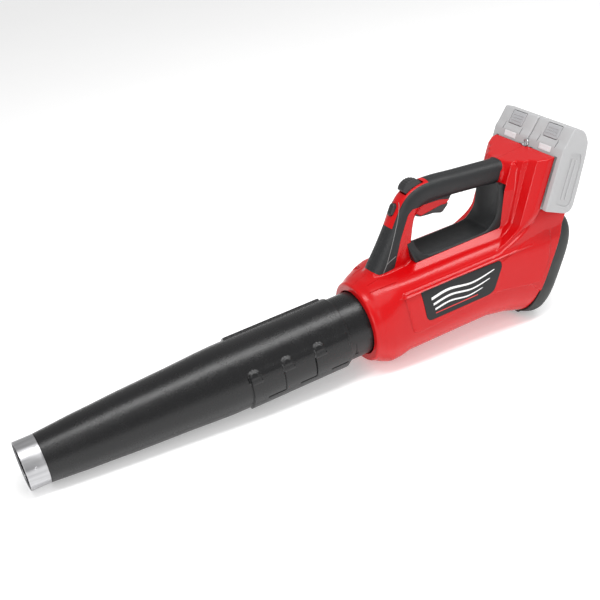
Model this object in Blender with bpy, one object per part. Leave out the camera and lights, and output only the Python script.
"""Cordless leaf blower with a three-position telescopic tube and two slide-in battery packs.

The shapes are drawn in millimetres in the tube's own frame: X runs back along the tube axis from the
nozzle tip, Y across the machine, Z up. One empty then lays the whole machine on the floor, where the
nozzle ring and the rear foot both touch, with the world origin under the rear foot.
"""

from math import atan2, cos, pi, radians, sin

import bmesh
import bpy
from mathutils import Matrix, Vector

MM = 0.001
GAP = 0.3

# Driving dimensions, in millimetres.
RING_R = 34.0
RING_BACK = 27.5
FOOT_X = 770.0
FOOT_Z = -84.0
SLEEVE_END = 466.0
SLEEVE_R = 49.8
SLEEVE_BORE_R = 47.4
TRACK_R = 53.0
TRACK_START = 309.0
INNER_TUBE_R = 46.8
INNER_TUBE_START = 306.0
MOUTH_R = 48.4
LUG_X = 316.0
LUG_ANGLE = 160.0
LID_LEAN = 28.0
REAR_CENTRE = (797.0, 0.0)
DUCT_R = 51.5
DOCK_BASE = (787.5, 99.5)
DOCK_LEAN = 24.4
TOWER_HALF = 67.5
PACK_PITCH = 79.0
PACK_HALF = 38.5
GRIP_SKIN = 2.8
HANDLE_WALL = 2.7
TRIGGER_PIVOT = (616.0, 138.0)
LEVER_PIVOT = (616.0, 158.0)
LEVER_R = 25.0
BUTTON_AT = (585.5, 150.5)
BUTTON_LEAN = 32.0


def clear_scene():
    for old in list(bpy.data.objects):
        bpy.data.objects.remove(old, do_unlink=True)


def make_material(name, colour, roughness, metallic=0.0):
    material = bpy.data.materials.new(name)
    material.use_nodes = True
    shader = material.node_tree.nodes["Principled BSDF"]
    shader.inputs["Base Color"].default_value = (*colour, 1.0)
    shader.inputs["Roughness"].default_value = roughness
    shader.inputs["Metallic"].default_value = metallic
    return material


def lay_on_floor():
    """The empty that holds the machine: it tips the nozzle down until nozzle and rear foot share a floor."""
    tilt = atan2(-RING_R - FOOT_Z, FOOT_X)
    frame = bpy.data.objects.new("tube_frame", None)
    bpy.context.scene.collection.objects.link(frame)
    turn = Matrix.Rotation(-tilt, 4, "Y")
    foot = Vector((FOOT_X, 0.0, FOOT_Z)) * MM
    frame.matrix_world = turn @ Matrix.Translation(-foot)
    return frame


clear_scene()
FRAME = lay_on_floor()
RED = make_material("red_plastic", (0.72, 0.02, 0.02), 0.28)
BLACK = make_material("black_plastic", (0.03, 0.03, 0.03), 0.45)
TUBE_BLACK = make_material("tube_plastic", (0.035, 0.035, 0.037), 0.4)
RUBBER = make_material("soft_grip", (0.05, 0.05, 0.052), 0.7)
STEEL = make_material("steel", (0.6, 0.6, 0.6), 0.3, 1.0)
PACK_GREY = make_material("pack_plastic", (0.55, 0.55, 0.56), 0.4)
GREY = make_material("grey_nylon", (0.25, 0.25, 0.26), 0.5)
COPPER = make_material("copper", (0.7, 0.3, 0.15), 0.4, 1.0)
BOARD = make_material("circuit_board", (0.02, 0.2, 0.06), 0.5)


def solid(name, points, faces, material=None, pivot=(0.0, 0.0, 0.0)):
    """A named closed mesh from millimetre points; its origin is the pivot."""
    mesh = bpy.data.meshes.new(name)
    centre = Vector(pivot)
    mesh.from_pydata([(Vector(p) - centre) * MM for p in points], [], faces)
    outward(mesh)
    obj = bpy.data.objects.new(name, mesh)
    bpy.context.scene.collection.objects.link(obj)
    obj.parent = FRAME
    obj.location = centre * MM
    if material:
        mesh.materials.append(material)
    mesh.shade_smooth()
    mesh.set_sharp_from_angle(angle=radians(35))
    return obj


def outward(mesh):
    shape = bmesh.new()
    shape.from_mesh(mesh)
    bmesh.ops.recalc_face_normals(shape, faces=shape.faces)
    if shape.calc_volume(signed=True) < 0:
        bmesh.ops.reverse_faces(shape, faces=shape.faces)
    shape.to_mesh(mesh)
    shape.free()


def ring_faces(count, rings, around=False):
    """Quads between neighbouring rings of equal count; around joins the last ring to the first."""
    faces = []
    for r in range(rings if around else rings - 1):
        low = r * count
        high = ((r + 1) % rings) * count
        for i in range(count):
            j = (i + 1) % count
            faces.append((low + i, low + j, high + j, high + i))
    return faces


def loft(name, rings, material=None, pivot=(0.0, 0.0, 0.0)):
    count = len(rings[0])
    points = [point for ring in rings for point in ring]
    faces = ring_faces(count, len(rings))
    faces.append(tuple(range(count)))
    faces.append(tuple(range(len(points) - count, len(points))))
    return solid(name, points, faces, material, pivot)


def turned(name, profile, material=None, sides=32, centre=(0.0, 0.0), pivot=(0.0, 0.0, 0.0)):
    """A closed (x, radius) profile turned about a line parallel to X through centre = (y, z)."""
    points = []
    for x, r in profile:
        for i in range(sides):
            a = 2 * pi * i / sides
            points.append((x, centre[0] + r * cos(a), centre[1] + r * sin(a)))
    faces = ring_faces(sides, len(profile), around=True)
    return solid(name, points, faces, material, pivot)


def spindle(name, profile, material=None, sides=32):
    """A solid turned shape about the tube axis from an (x, radius) profile, closed by flat ends."""
    rings = []
    for x, r in profile:
        rings.append([(x, r * cos(2 * pi * i / sides), r * sin(2 * pi * i / sides)) for i in range(sides)])
    return loft(name, rings, material)


def rod(name, start, end, radius, material=None, sides=16, pivot=(0.0, 0.0, 0.0)):
    """A straight round bar between two points."""
    a = Vector(start)
    b = Vector(end)
    along = (b - a).normalized()
    side = along.orthogonal().normalized()
    up = along.cross(side)
    rings = []
    for centre in (a, b):
        ring = []
        for i in range(sides):
            t = 2 * pi * i / sides
            ring.append(centre + radius * (cos(t) * side + sin(t) * up))
        rings.append(ring)
    return loft(name, rings, material, pivot)


def plate(name, outline, y0, y1, material=None, pivot=(0.0, 0.0, 0.0)):
    """An (x, z) outline pushed across the machine from y0 to y1."""
    rings = [[(x, y, z) for x, z in outline] for y in (y0, y1)]
    return loft(name, rings, material, pivot)


def dock_point(u, v, y):
    """A point in the battery dock: u up the packs' sliding line, v straight out from the dock plate."""
    lean = radians(DOCK_LEAN)
    x = DOCK_BASE[0] + u * sin(lean) + v * cos(lean)
    z = DOCK_BASE[1] + u * cos(lean) - v * sin(lean)
    return (x, y, z)


def dock_prism(name, outline, y0, y1, material=None, pivot=(0.0, 0.0, 0.0)):
    """A (v, u) outline in the dock's own directions, pushed across from y0 to y1."""
    rings = [[dock_point(u, v, y) for v, u in outline] for y in (y0, y1)]
    return loft(name, rings, material, pivot)


def box_outline(a0, a1, b0, b1):
    return [(a0, b0), (a1, b0), (a1, b1), (a0, b1)]


def combine(target, other, operation):
    """Applies one Boolean to target and removes the other shape; a target may ask for its own solver."""
    modifier = target.modifiers.new("combine", "BOOLEAN")
    modifier.operation = operation
    modifier.object = other
    modifier.solver = target.get("solver", "EXACT")
    graph = bpy.context.evaluated_depsgraph_get()
    result = bpy.data.meshes.new_from_object(target.evaluated_get(graph))
    target.modifiers.clear()
    old = target.data
    target.data = result
    bpy.data.meshes.remove(old)
    bpy.data.objects.remove(other, do_unlink=True)
    return target


def cut(target, other):
    return combine(target, other, "DIFFERENCE")


def fuse(target, other):
    return combine(target, other, "UNION")


def keep_common(target, other):
    return combine(target, other, "INTERSECT")


def copy_of(obj, name):
    twin = obj.copy()
    twin.data = obj.data.copy()
    twin.name = name
    bpy.context.scene.collection.objects.link(twin)
    return twin


def finish(obj, name, material, pivot=None):
    """Names a shape that Booleans made, gives it one material and moves its origin to the pivot."""
    obj.name = name
    mesh = obj.data
    mesh.materials.clear()
    mesh.materials.append(material)
    if pivot:
        centre = Vector(pivot) * MM
        mesh.transform(Matrix.Translation(obj.location - centre))
        obj.location = centre
    mesh.shade_smooth()
    mesh.set_sharp_from_angle(angle=radians(35))
    return obj


# ---------------------------------------------------------------- housing shapes

BODY_SIDES = 28


def oval_ring(station, shrink=0.0, top=None):
    """One cross-section of the body: a squared oval, leaning back by its station's angle.

    station = (x, z, lean, half width, height above, depth below, squareness)
    """
    x, z, lean, half, up, down, power = station
    up = (up if top is None else top) - (shrink if top is None else 0.0)
    a = radians(lean)
    ring = []
    for i in range(BODY_SIDES):
        t = 2 * pi * i / BODY_SIDES
        c = cos(t)
        s = sin(t)
        y = (half - shrink) * abs(c) ** (2 / power) * (1 if c > 0 else -1)
        rise = abs(s) ** (2 / power) * (up if s > 0 else -(down - shrink))
        ring.append((x + rise * sin(a), y, z + rise * cos(a)))
    return ring


BODY_STATIONS = [
    (508, 0, 0, 58.5, 60, 60.5, 2.05),
    (515, 0, 0, 62.0, 64, 66, 2.1),
    (528, 0, 0, 64.0, 66.5, 70.5, 2.3),
    (542, 0, 0, 64.5, 67, 68, 2.4),
    (556, 0, 0, 64.5, 67, 61, 2.5),
    (640, 0, 3, 65.0, 66, 60, 2.6),
    (700, 0, 10, 65.0, 66, 61, 2.6),
    (745, 0, 19, 66.0, 68, 70, 2.7),
    (775, 0, 25, 67.5, 73, 80, 2.9),
    (797, 0, 28, 68.0, 80, 88, 3.0),
]
COVER_STEPS = [(GAP + 0.1, 68.0, 80, 88), (18, 66.5, 78, 86.5), (28, 61, 72.5, 80), (33, 53, 64, 71)]
CAVITY_STATIONS = [BODY_STATIONS[4], *BODY_STATIONS[5:]]
CAVITY_TOP = 54.6
WALL = 3.0


def body_solid():
    return loft("body", [oval_ring(s) for s in BODY_STATIONS])


def body_cavity():
    """The hollow inside the body, open at the rear where the intake cover closes it."""
    tops = [CAVITY_TOP, CAVITY_TOP, CAVITY_TOP, 56.0, 62.0, 74.0]
    rings = [oval_ring(s, WALL, top) for s, top in zip(CAVITY_STATIONS, tops)]
    x, z, lean, half, up, down, power = BODY_STATIONS[-1]
    step = (x + 6 * cos(radians(lean)), z - 6 * sin(radians(lean)), lean, half, up, down, power)
    rings.append(oval_ring(step, WALL, 74.0))
    return loft("cavity", rings)


def tower_rear(z):
    return DOCK_BASE[0] + (z - DOCK_BASE[1]) * sin(radians(DOCK_LEAN)) / cos(radians(DOCK_LEAN))


def tower_ring(z, front, rear_shift=0.0, inset=0.0, half=TOWER_HALF):
    """One level cross-section of the battery hood, pointed at the front where the grip joins it."""
    rear = tower_rear(z) - rear_shift
    side = half - inset
    bow = [
        (rear, side),
        (rear - 11 + inset * 0.4, side),
        (rear - 20 + inset, side - 8),
        (front + 0.32 * (rear - 20 - front) + inset, 40 - inset * 0.8),
        (front + 4 + inset, 22 - inset * 0.6),
        (front + inset, 8),
    ]
    ring = [(x, y, z) for x, y in bow]
    ring += [(x, -y, z) for x, y in reversed(bow)]
    return ring


TOWER_LEVELS = [(40, 724), (66, 742), (100, 756), (130, 762), (158, 768), (166, 784)]


def tower_solid():
    return loft("tower", [tower_ring(z, front) for z, front in TOWER_LEVELS])


def tower_cavity():
    levels = [(46, 730), (66, 744), (100, 757), (130, 763), (150, 769), (160, 780)]
    rings = [tower_ring(z, front, rear_shift=3.0, inset=3.5) for z, front in levels]
    return loft("tower_hollow", rings)


HANDLE_PATH = [
    (546, 52, 24, 21),
    (556, 68, 22, 20.5),
    (569, 88, 20, 19.5),
    (584, 112, 18.5, 18.5),
    (599, 137, 17.5, 18),
    (611, 151, 17.2, 18),
    (628, 158, 17, 18),
    (652, 158.5, 16.8, 18),
    (690, 154.5, 16.5, 18),
    (735, 149.5, 16.8, 18),
    (768, 145, 17.5, 18.5),
    (785, 142.5, 17.5, 18.5),
]
HANDLE_STATIONS = 19
HANDLE_SIDES = 16


def curve_value(values, t):
    """Catmull-Rom through equally spaced values, t from 0 to len - 1."""
    i = min(int(t), len(values) - 2)
    f = t - i
    p0 = values[max(i - 1, 0)]
    p1 = values[i]
    p2 = values[i + 1]
    p3 = values[min(i + 2, len(values) - 1)]
    return 0.5 * (2 * p1 + (p2 - p0) * f + (2 * p0 - 5 * p1 + 4 * p2 - p3) * f * f
                  + (3 * p1 - p0 - 3 * p2 + p3) * f ** 3)


def handle_at(t):
    """Centre, direction, half height and half width of the handle at t from 0 (collar) to 1 (hood)."""
    at = t * (len(HANDLE_PATH) - 1)
    x, z, tall, wide = (curve_value([p[k] for p in HANDLE_PATH], at) for k in range(4))
    ahead = min(at + 0.05, len(HANDLE_PATH) - 1)
    behind = max(at - 0.05, 0)
    dx = curve_value([p[0] for p in HANDLE_PATH], ahead) - curve_value([p[0] for p in HANDLE_PATH], behind)
    dz = curve_value([p[1] for p in HANDLE_PATH], ahead) - curve_value([p[1] for p in HANDLE_PATH], behind)
    length = (dx * dx + dz * dz) ** 0.5
    return x, z, dx / length, dz / length, tall, wide


def handle_sweep(name, shrink, start=0.0, end=1.0):
    rings = []
    for s in range(HANDLE_STATIONS):
        t = start + (end - start) * s / (HANDLE_STATIONS - 1)
        x, z, dx, dz, tall, wide = handle_at(t)
        ring = []
        for i in range(HANDLE_SIDES):
            a = 2 * pi * i / HANDLE_SIDES
            rise = (tall - shrink) * sin(a)
            ring.append((x - dz * rise, (wide - shrink) * cos(a), z + dx * rise))
        rings.append(ring)
    return loft(name, rings)


LINER_INNER = [(600, 98), (604, 80), (614, 70), (630, 68), (716, 67.5), (733, 71), (743, 82), (751, 108), (756, 132)]
LINER_OUTER = [(762, 133), (759, 106), (750, 76), (737, 61), (718, 58), (626, 58), (606, 61), (594, 73), (591, 98)]
LINER_HALF = 24.0
WEB = [(552, 62), (626, 56), (608, 66), (598, 80), (595, 100), (603, 128), (610, 142), (592, 132), (566, 86)]
TRIGGER_BAND = [(607, 150), (611, 138), (626, 134), (655, 138.5), (668, 134), (674, 141), (668, 150)]


def liner_shape(name, grow=0.0):
    """The U of dark lining along the floor and back of the hand opening."""
    outline = LINER_INNER + LINER_OUTER
    if grow:
        centre_x = 680.0
        outer = []
        for x, z in LINER_OUTER:
            outer.append((x + (grow if x > centre_x else -grow), z - grow))
        inner = [(x, z + 30) for x, z in LINER_INNER]
        outline = inner + outer
    return plate(name, outline, -LINER_HALF - grow, LINER_HALF + grow)


def lever_pocket():
    """A round slot for the speed lever and its hub."""
    x, z = LEVER_PIVOT
    reach = LEVER_R + 1.0
    outline = []
    for step in range(13):
        a = radians(2 + 140 * step / 12)
        outline.append((x + reach * cos(a), z + reach * sin(a)))
    for step in range(7):
        a = radians(160 + 180 * step / 6)
        outline.append((x + 7.5 * cos(a), z + 7.5 * sin(a)))
    return plate("lever_slot", outline, -9.2, 9.2)


def leaning_bar(name, centre, lean, depth0, depth1, half_long, half_wide, material=None, pivot=(0.0, 0.0, 0.0)):
    """A bar with round ends, pushed along a direction that leans from -X by lean towards +Z."""
    a = radians(lean)
    out = Vector((-cos(a), 0.0, sin(a)))
    along = Vector((sin(a), 0.0, cos(a)))
    middle = Vector((centre[0], 0.0, centre[1]))
    rings = []
    for depth in (depth0, depth1):
        ring = []
        for i in range(16):
            t = 2 * pi * i / 16
            shift = half_long - half_wide
            slide = half_wide * cos(t) + (shift if cos(t) >= 0 else -shift)
            across = Vector((0.0, half_wide * sin(t), 0.0))
            ring.append(middle + out * depth + along * slide + across)
        rings.append(ring)
    return loft(name, rings, material, pivot)


SCREWS = [(534, -60, 30), (534, 60, 24), (579, 84, 12), (744, -65, 20), (774, 84, 30), (712, 151.5, 13)]
SCREW_R = 3.0
BOSS_R = 6.5
BOSSED = SCREWS[3:]


def floor_cutter():
    """A slab whose top is the floor, so that what it trims gets a true flat to stand on."""
    slope = (-RING_R - FOOT_Z) / FOOT_X

    def at(x):
        return -RING_R - slope * x

    outline = [(400, at(400)), (400, at(400) - 60), (900, at(900) - 60), (900, at(900))]
    return plate("floor", outline, -120, 120)


def make_housing():
    """Both clamshell halves, cut from one hollow shape along the machine's middle plane."""
    whole = body_solid()
    # The exact solver leaves open seams where the hollow breaks through the leaning rear rim.
    whole["solver"] = "MANIFOLD"
    fuse(whole, tower_solid())
    fuse(whole, plate("web", WEB, -17, 17))
    fuse(whole, handle_sweep("core", GRIP_SKIN))
    fuse(whole, plate("band", TRIGGER_BAND, -12, 12))
    cut(whole, body_cavity())
    cut(whole, tower_cavity())
    cut(whole, handle_sweep("hollow", GRIP_SKIN + HANDLE_WALL, 0.34, 0.99))
    for x, z, reach in BOSSED:
        fuse(whole, rod("boss", (x, -reach, z), (x, reach, z), BOSS_R))
    cut(whole, spindle("mouth", [(500, MOUTH_R), (562, MOUTH_R)], sides=40))
    cut(whole, liner_shape("liner_seat", GAP))
    cut(whole, dock_prism("dock_seat", box_outline(-4.5, 6, 2.4, 69.6), -62.4, 62.4))
    cut(whole, plate("trigger_slot", [(606, 156), (606, 128), (680, 120), (680, 147), (664, 154)], -7.2, 7.2))
    cut(whole, lever_pocket())
    cut(whole, rod("trigger_pin_hole", (TRIGGER_PIVOT[0], -11, TRIGGER_PIVOT[1]),
                   (TRIGGER_PIVOT[0], 11, TRIGGER_PIVOT[1]), 2.3))
    cut(whole, rod("lever_pin_hole", (LEVER_PIVOT[0], -13, LEVER_PIVOT[1]),
                   (LEVER_PIVOT[0], 13, LEVER_PIVOT[1]), 2.3))
    cut(whole, leaning_bar("button_hole", BUTTON_AT, BUTTON_LEAN, -14, 14, 11, 6))
    cut(whole, strip_solid("strip_seat", GAP))
    for x, z, reach in SCREWS:
        cut(whole, rod("screw_hole", (x, -8, z), (x, 90, z), SCREW_R + GAP, sides=10))
        cut(whole, rod("head_hole", (x, reach - 3, z), (x, 90, z), 4.6, sides=10))
    for side in (1, -1):
        y0, y1 = sorted((side * 62.0, side * 80.0))
        cut(whole, plate("badge_seat", badge_outline(GAP), y0, y1))
    cut(whole, eyelet_slot())
    cut(whole, floor_cutter())
    right = copy_of(whole, "right")
    cut(whole, plate("split", box_outline(400, 950, -200, 300), -0.15, 150))
    cut(right, plate("split", box_outline(400, 950, -200, 300), -150, 0.15))
    finish(whole, "housing_left", RED)
    finish(right, "housing_right", RED)


def badge_outline(grow=0.0):
    """The slanted badge on each side, measured from its middle so that a seat can be grown."""
    corners = [(577, 45), (710, 42), (712, 34), (695, 1), (686, -3), (586, -3), (580, 3), (574, 41)]
    middle_x = sum(x for x, _ in corners) / len(corners)
    middle_z = sum(z for _, z in corners) / len(corners)
    grown = []
    for x, z in corners:
        grown.append((x + (grow if x > middle_x else -grow), z + (grow if z > middle_z else -grow)))
    return grown


def make_badges():
    for side, name in ((-1, "badge_left"), (1, "badge_right")):
        y0, y1 = sorted((side * (62.0 + GAP), side * 65.6))
        plate(name, badge_outline(), y0, y1, BLACK)


def strip_solid(name, grow=0.0):
    """The red control strip along the front of the handle's leg."""
    outline = [(566, 133), (598, 178), (603, 171), (574, 127)]
    if grow:
        outline = [(563, 134), (597, 181), (604, 171), (575, 125)]
    strip = plate(name, outline, -11 - grow, 11 + grow)
    return keep_common(strip, handle_sweep("skin", -1.5))


def make_control_strip():
    strip = strip_solid("strip")
    cut(strip, leaning_bar("button_hole", BUTTON_AT, BUTTON_LEAN, -14, 14, 11, 6))
    cut(strip, lever_pocket())
    finish(strip, "control_strip", RED)


def make_soft_grip():
    """The soft skin moulded over the handle, in one half for each clamshell."""
    grip = handle_sweep("grip", 0.0)
    cut(grip, handle_sweep("core", GRIP_SKIN - 0.25, -0.001, 1.001))
    cut(grip, plate("below", [(480, 0), (620, 0), (590, 60), (574, 67), (530, 82), (480, 90)], -60, 60))
    cut(grip, plate("behind", box_outline(757, 860, 60, 240), -60, 60))
    cut(grip, plate("web_side", [(x, z) for x, z in WEB], -17.4, 17.4))
    cut(grip, plate("band_side", TRIGGER_BAND, -12.4, 12.4))
    cut(grip, plate("band_top", [(604, 120), (682, 118), (676, 146), (606, 146)], -12.4, 12.4))
    cut(grip, lever_pocket())
    cut(grip, strip_solid("strip_seat", GAP))
    cut(grip, leaning_bar("button_hole", BUTTON_AT, BUTTON_LEAN, -14, 14, 11, 6))
    cut(grip, liner_shape("liner_seat", GAP))
    x, z, reach = SCREWS[-1]
    cut(grip, rod("head_hole", (x, reach - 3, z), (x, 90, z), 4.6, sides=10))
    right = copy_of(grip, "right")
    cut(grip, plate("split", box_outline(400, 950, -200, 300), -0.15, 150))
    cut(right, plate("split", box_outline(400, 950, -200, 300), -150, 0.15))
    finish(grip, "soft_grip_left", RUBBER)
    finish(right, "soft_grip_right", RUBBER)


def make_liner():
    liner = liner_shape("liner")
    finish(liner, "handle_opening_liner", RUBBER)


# ---------------------------------------------------------------- intake cover

def cover_ring(step, half, up, down, shrink=0.0):
    a = radians(LID_LEAN)
    x = REAR_CENTRE[0] + step * cos(a)
    z = REAR_CENTRE[1] - step * sin(a)
    return oval_ring((x, z, LID_LEAN, half, up, down, 3.0), shrink)


FOOT_BACK = 7.0
FOOT_HALF = 26.0


def make_intake_cover():
    """The black cap over the air intake, with level slots through its face."""
    cover = loft("cover", [cover_ring(*step) for step in COVER_STEPS])
    hollow = [cover_ring(-2.0, 68, 80, 88, WALL), cover_ring(17, 66.5, 78, 86.5, WALL),
              cover_ring(26, 61, 72.5, 80, WALL), cover_ring(29.5, 54, 65, 72, WALL)]
    cut(cover, loft("hollow", hollow))
    a = radians(LID_LEAN)
    for k in range(-5, 6):
        rise = 10.5 * k - 2
        middle = Vector((REAR_CENTRE[0] + rise * sin(a), 0, REAR_CENTRE[1] + rise * cos(a)))
        out = Vector((cos(a), 0, -sin(a)))
        up = Vector((sin(a), 0, cos(a)))
        half = 44 if abs(k) < 5 else 34
        rings = []
        for y in (-half, half):
            ring = []
            for depth, lift in ((22, -2.6), (45, -2.6), (45, 2.6), (22, 2.6)):
                ring.append(middle + out * depth + up * lift + Vector((0, y, 0)))
            rings.append(ring)
        cut(cover, loft("slot", rings))
    fuse(cover, plate("foot", box_outline(FOOT_X - FOOT_BACK, FOOT_X + 19, -90, -79), -FOOT_HALF, FOOT_HALF))
    cut(cover, floor_cutter())
    finish(cover, "rear_intake_cover", BLACK)


# ---------------------------------------------------------------- air path and motor

def make_air_path():
    turned("fan_duct", [(566, DUCT_R - 3), (566, DUCT_R), (740, DUCT_R), (740, DUCT_R + 2), (746, DUCT_R + 2),
                        (746, DUCT_R - 3)], GREY, sides=32)
    tube = turned("tube", [(INNER_TUBE_START, INNER_TUBE_R - 2.4), (INNER_TUBE_START, INNER_TUBE_R),
                           (558, INNER_TUBE_R), (558, 52.5), (563, 52.5), (563, INNER_TUBE_R - 2.4)], sides=40)
    for angle in (LUG_ANGLE, LUG_ANGLE + 180):
        a = radians(angle)
        fuse(tube, rod("lug", (LUG_X, 44.5 * cos(a), 44.5 * sin(a)), (LUG_X, 49.8 * cos(a), 49.8 * sin(a)),
                       4.5, sides=10))
    finish(tube, "inner_air_tube", TUBE_BLACK)
    guide = turned("guide", [(606, 4), (634, 27.5), (705, 27.5), (705, 24.6), (634, 24.6), (610, 3.4)])
    for k in range(7):
        a = 2 * pi * k / 7 + 0.2
        across = Vector((0, -sin(a), cos(a)))
        out = Vector((0, cos(a), sin(a)))
        rings = []
        for r in (26, 50):
            ring = []
            for x, shift in ((650, 5), (676, 1.5), (703, -1), (703, 1), (676, 4), (650, 7)):
                ring.append(Vector((x, 0, 0)) + out * r + across * shift)
            rings.append(ring)
        fuse(guide, loft("vane", rings))
    fuse(guide, turned("rim", [(648, 48.1), (648, 45.8), (704, 45.8), (704, 48.1)], sides=32))
    keep_common(guide, spindle("limit", [(590, 48.15), (720, 48.15)], sides=32))
    finish(guide, "flow_guide", GREY)


def make_motor():
    turned("motor_stator", [(646, 12.5), (646, 24.2), (694, 24.2), (694, 12.5)], COPPER, sides=20)
    turned("rear_bearing", [(697, 3.4), (697, 24.2), (703, 24.2), (703, 3.4)], STEEL, sides=16)
    turned("front_bearing", [(637, 3.4), (637, 24.2), (643, 24.2), (643, 3.4)], STEEL, sides=16)


def make_fan():
    spindle("motor_shaft", [(634, 3.0), (756, 3.0)], STEEL, sides=16)
    turned("motor_rotor", [(648, 3.3), (648, 11.8), (692, 11.8), (692, 3.3)], STEEL, sides=20)
    hub = turned("hub", [(709, 3.3), (709, 26), (731, 26), (738, 22), (742, 12), (742, 3.3)])
    for k in range(9):
        a = 2 * pi * k / 9
        across = Vector((0, -sin(a), cos(a)))
        out = Vector((0, cos(a), sin(a)))
        rings = []
        for r, lean in ((24, 7.0), (36, 9.0), (46.4, 10.0)):
            ring = []
            for x, shift in ((711, -lean), (730, lean), (730, lean + 2), (711, -lean + 2)):
                ring.append(Vector((x, 0, 0)) + out * r + across * shift)
            rings.append(ring)
        fuse(hub, loft("blade", rings))
    finish(hub, "impeller", GREY)
    turned("fan_nut", [(742.4, 3.8), (742.4, 7.0), (748, 7.0), (748, 3.8)], STEEL, sides=6)


# ---------------------------------------------------------------- blow tube

TUBE_PROFILE = [(28, 33.9), (60, 36.5), (120, 40.6), (180, 44.0), (240, 47.1), (285, SLEEVE_R), (SLEEVE_END, SLEEVE_R)]
TUBE_WALL = 2.3


def sector(name, x0, x1, r0, r1, a0, a1, steps=8):
    """A curved block about the tube axis, between two angles in degrees."""
    rings = []
    for i in range(steps + 1):
        a = radians(a0 + (a1 - a0) * i / steps)
        rings.append([(x, r * cos(a), r * sin(a)) for x, r in ((x0, r0), (x1, r0), (x1, r1), (x0, r1))])
    return loft(name, rings)


def make_blow_tube():
    inner = [(x, r - TUBE_WALL) for x, r in TUBE_PROFILE[:-2]]
    inner += [(292, SLEEVE_BORE_R), (SLEEVE_END, SLEEVE_BORE_R)]
    tube = turned("tube", TUBE_PROFILE + inner[::-1], sides=40)
    for turn in (0, 180):
        fuse(tube, sector("track", TRACK_START, SLEEVE_END - 4, 48.4, TRACK_R, 146 + turn, 242 + turn, 10))
    for turn in (0, 180):
        cut(tube, sector("channel", TRACK_START + 1.5, SLEEVE_END + 5, 45, 51.0, 151 + turn, 196 + turn, 5))
        for k in range(3):
            cut(tube, sector("groove", TRACK_START + 49.5 * k + 22, TRACK_START + 49.5 * k + 49, TRACK_R - 0.9,
                             TRACK_R + 2, 206 + turn, 209 + turn, 1))
    keep_common(tube, spindle("bore", [(20, 70), (SLEEVE_END, 70)], sides=10))
    finish(tube, "nozzle_tube", TUBE_BLACK)
    ring = turned("ring", [(0, RING_R - 1.6), (0, RING_R), (RING_BACK, RING_R), (RING_BACK, RING_R - 1.6)],
                  sides=36)
    finish(ring, "nozzle_ring", STEEL)
    sleeve = turned("liner_sleeve", [(2, 29.6), (2, 32.0), (27.7, 32.0), (27.7, 29.6)], TUBE_BLACK, sides=36)
    sleeve.name = "nozzle_inner_sleeve"
    turned("tube_seal_ring", [(300, 45.2), (300, 47.0), (304.5, 47.0), (304.5, 45.2)], RUBBER, sides=32)


# ---------------------------------------------------------------- controls

def make_trigger():
    px, pz = TRIGGER_PIVOT
    outline = [(px - 5, pz + 4), (px - 6, pz - 3), (620, 126), (632, 123.5), (646, 123), (658, 119), (664, 122),
               (672, 128), (670, 133), (656, 137), (640, 141), (624, 143.5)]
    trigger = plate("trigger_body", outline, -6.6, 6.6)
    cut(trigger, rod("pin_hole", (px, -20, pz), (px, 20, pz), 2.3))
    cut(trigger, rod("spring_cup", (652, 0, 131), (652, 0, 160), 3.0, sides=10))
    finish(trigger, "trigger", BLACK, (px, 0, pz))
    rod("trigger_pin", (px, -10.6, pz), (px, 10.6, pz), 2.0, STEEL, sides=10)
    coil_spring("trigger_spring", (652, 131.4), 16.5, 2.4, 0.5, 4)


def coil_spring(name, foot, height, radius, wire, turns):
    """An upright helical spring with its foot at (x, z)."""
    curve = bpy.data.curves.new(name, "CURVE")
    curve.dimensions = "3D"
    curve.bevel_depth = wire * MM
    curve.bevel_resolution = 1
    curve.use_fill_caps = True
    count = turns * 8 + 1
    spline = curve.splines.new("POLY")
    spline.points.add(count - 1)
    for i in range(count):
        a = 2 * pi * i / 8
        z = foot[1] + wire + (height - 2 * wire) * i / (count - 1)
        point = Vector((foot[0] + radius * cos(a), radius * sin(a), z)) * MM
        spline.points[i].co = (*point, 1.0)
    spring = bpy.data.objects.new(name, curve)
    bpy.context.scene.collection.objects.link(spring)
    spring.parent = FRAME
    curve.materials.append(STEEL)
    return spring


def make_speed_lever():
    x, z = LEVER_PIVOT
    outline = []
    for step in range(11):
        a = radians(46 + 88 * step / 10)
        outline.append((x + LEVER_R * cos(a), z + LEVER_R * sin(a)))
    for a in (134, 118, 104):
        outline.append((x + (LEVER_R - 4.5) * cos(radians(a)), z + (LEVER_R - 4.5) * sin(radians(a))))
    for step in range(9):
        a = radians(120 + 300 * step / 8)
        outline.append((x + 6 * cos(a), z + 6 * sin(a)))
    for a in (76, 62, 46):
        outline.append((x + (LEVER_R - 4.5) * cos(radians(a)), z + (LEVER_R - 4.5) * sin(radians(a))))
    lever = plate("lever", outline, -8.5, 8.5)
    cut(lever, rod("pin_hole", (x, -20, z), (x, 20, z), 2.3))
    finish(lever, "speed_lever", BLACK, (x, 0, z))
    rod("lever_pin", (x, -12.6, z), (x, 12.6, z), 2.0, STEEL, sides=10)


def make_turbo_button():
    at = (BUTTON_AT[0], 0.0, BUTTON_AT[1])
    leaning_bar("turbo_button", BUTTON_AT, BUTTON_LEAN, -8, 5.2, 10.6, 5.6, BLACK, at)


def make_switches():
    """The main switch stands clear behind the speed lever's full swing."""
    plate("power_switch", box_outline(643.5, 662, 157, 164.6), -6.5, 6.5, BLACK)
    leaning_bar("turbo_switch", (BUTTON_AT[0] + 12, BUTTON_AT[1] - 8), BUTTON_LEAN, -4, 3, 8, 5, GREY)


# ---------------------------------------------------------------- batteries and electronics

PACK_PROFILE = [(1.2, -4), (38, -4), (46, -1), (50, 8), (49.5, 34), (46.5, 82), (43.5, 102), (36, 112.5), (28, 117.5),
                (11.5, 117.5), (4.5, 93), (1.2, 86)]
RAIL_Y = 27.0


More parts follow.
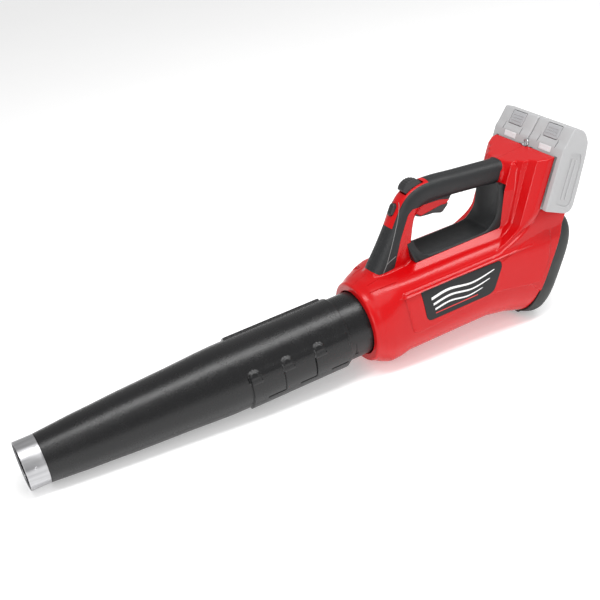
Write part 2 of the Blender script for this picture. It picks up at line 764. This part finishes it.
def make_packs():
    for side, word in ((-1, "left"), (1, "right")):
        middle = side * PACK_PITCH / 2
        base = dock_point(0, 0, middle)
        pack = dock_prism("pack", PACK_PROFILE, middle - PACK_HALF, middle + PACK_HALF)
        bevel = pack.modifiers.new("edges", "BEVEL")
        bevel.width = 4 * MM
        bevel.segments = 2
        bevel.limit_method = "ANGLE"
        bevel.angle_limit = radians(60)
        cut(pack, dock_prism("contact_slot", box_outline(-5, 11, -20, 42), middle - 12, middle + 12))
        for rail in (-RAIL_Y, RAIL_Y):
            cut(pack, dock_prism("rail_slot", box_outline(-5, 6.6, -20, 74), middle + rail - 3, middle + rail + 3))
        cut(pack, latch_block("latch_seat", middle, -9.0, 6.0, 15.6, 10.6))
        finish(pack, f"battery_pack_{word}", PACK_GREY, base)
        latch = latch_block("latch", middle, -4.6, 1.2, 15.0, 10.0)
        finish(latch, f"battery_release_{word}", GREY, latch_centre(middle))


def latch_centre(middle):
    return dock_point(105.25, 8.0, middle)


def latch_block(name, middle, depth0, depth1, half_wide, half_long):
    """A block square to the pack's sloping top panel; depth is positive outwards."""
    centre = Vector(latch_centre(middle))
    top = Vector(dock_point(117.5, 11.5, middle))
    along = (top - Vector(dock_point(93, 4.5, middle))).normalized()
    out = along.cross(Vector((0, 1, 0)))
    if out.x > 0:
        out = -out
    rings = []
    for y in (-half_wide, half_wide):
        ring = []
        for depth, slide in ((depth0, -half_long), (depth1, -half_long), (depth1, half_long), (depth0, half_long)):
            ring.append(centre + out * depth + along * slide + Vector((0, y, 0)))
        rings.append(ring)
    return loft(name, rings)


def make_dock():
    dock = dock_prism("dock", box_outline(-4.2, 0.4, 2.8, 69.2), -62, 62)
    for side in (-1, 1):
        middle = side * PACK_PITCH / 2
        for rail in (-RAIL_Y, RAIL_Y):
            if abs(middle + rail) < 61:
                fuse(dock, dock_prism("rail", box_outline(-1, 6, 5, 66), middle + rail - 2.4, middle + rail + 2.4))
        cut(dock, dock_prism("contact_hole", box_outline(-8, 8, 8, 36), middle - 10.4, middle + 10.4))
    finish(dock, "battery_dock", BLACK)
    for side, word in ((-1, "left"), (1, "right")):
        middle = side * PACK_PITCH / 2
        dock_prism(f"battery_contacts_{word}", box_outline(-9, 9, 8.4, 35.6), middle - 10, middle + 10, GREY)


def make_electronics():
    dock_prism("controller_board", box_outline(-17, -14.5, 2, 52), -26, 26, BOARD)
    dock_prism("controller_heatsink", box_outline(-14.1, -10, 40, 52), -22, 22, STEEL)


def wire(name, route, radius, material):
    """A round lead along a smooth line through the route's own points."""
    curve = bpy.data.curves.new(name, "CURVE")
    curve.dimensions = "3D"
    curve.bevel_depth = radius * MM
    curve.bevel_resolution = 1
    curve.use_fill_caps = True
    count = 3 * (len(route) - 1) + 1
    spline = curve.splines.new("POLY")
    spline.points.add(count - 1)
    for i in range(count):
        t = (len(route) - 1) * i / (count - 1)
        point = Vector([curve_value([p[k] for p in route], t) for k in range(3)]) * MM
        spline.points[i].co = (*point, 1.0)
    lead = bpy.data.objects.new(name, curve)
    bpy.context.scene.collection.objects.link(lead)
    lead.parent = FRAME
    curve.materials.append(material)


SWITCH_LEAD = [(664, 0, 161), (690, 0, 162), (712, 0, 161.5), (738, 0, 157), (764, 0, 148), (775, 0, 138)]


def make_leads():
    wire("switch_lead", SWITCH_LEAD, 1.8, BLACK)
    for side, word in ((-1, "left"), (1, "right")):
        middle = side * PACK_PITCH / 2
        start = dock_point(22, -11.2, middle)
        bend = dock_point(21, -12.4, middle - side * 4)
        end = dock_point(20, -13.0, side * 28.5)
        wire(f"battery_lead_{word}", [start, bend, end], 1.5, RED)


# ---------------------------------------------------------------- fittings

def eyelet_slot():
    return dock_prism("eyelet_slot", box_outline(-3.4, 3.4, 63, 90), -6.5, 6.5)


def make_eyelet():
    """A round strap ring standing in a notch on the hood's top edge."""
    centre = Vector(dock_point(77.0, -0.6, 0))
    across = Vector((0, 1, 0))
    up = (Vector(dock_point(1, 0, 0)) - Vector(dock_point(0, 0, 0))).normalized()
    out = across.cross(up)
    rings = []
    for i in range(16):
        a = 2 * pi * i / 16
        radial = across * cos(a) + up * sin(a)
        ring = []
        for j in range(6):
            b = 2 * pi * j / 6
            ring.append(centre + radial * (4.9 + 1.1 * cos(b)) + out * 1.1 * sin(b))
        rings.append(ring)
    points = [p for ring in rings for p in ring]
    solid("strap_eyelet", points, ring_faces(6, 16, around=True), STEEL)


def make_screws():
    for number, (x, z, reach) in enumerate(SCREWS, 1):
        screw = rod("screw", (x, -7.5, z), (x, reach - 1.2, z), SCREW_R, sides=10)
        fuse(screw, rod("head", (x, reach - 2.6, z), (x, reach, z), 4.3, sides=10))
        finish(screw, f"housing_screw_{number}", STEEL)


def main():
    make_housing()
    make_badges()
    make_control_strip()
    make_soft_grip()
    make_liner()
    make_intake_cover()
    make_air_path()
    make_motor()
    make_fan()
    make_blow_tube()
    make_trigger()
    make_speed_lever()
    make_turbo_button()
    make_switches()
    make_packs()
    make_dock()
    make_electronics()
    make_leads()
    make_eyelet()
    make_screws()


main()
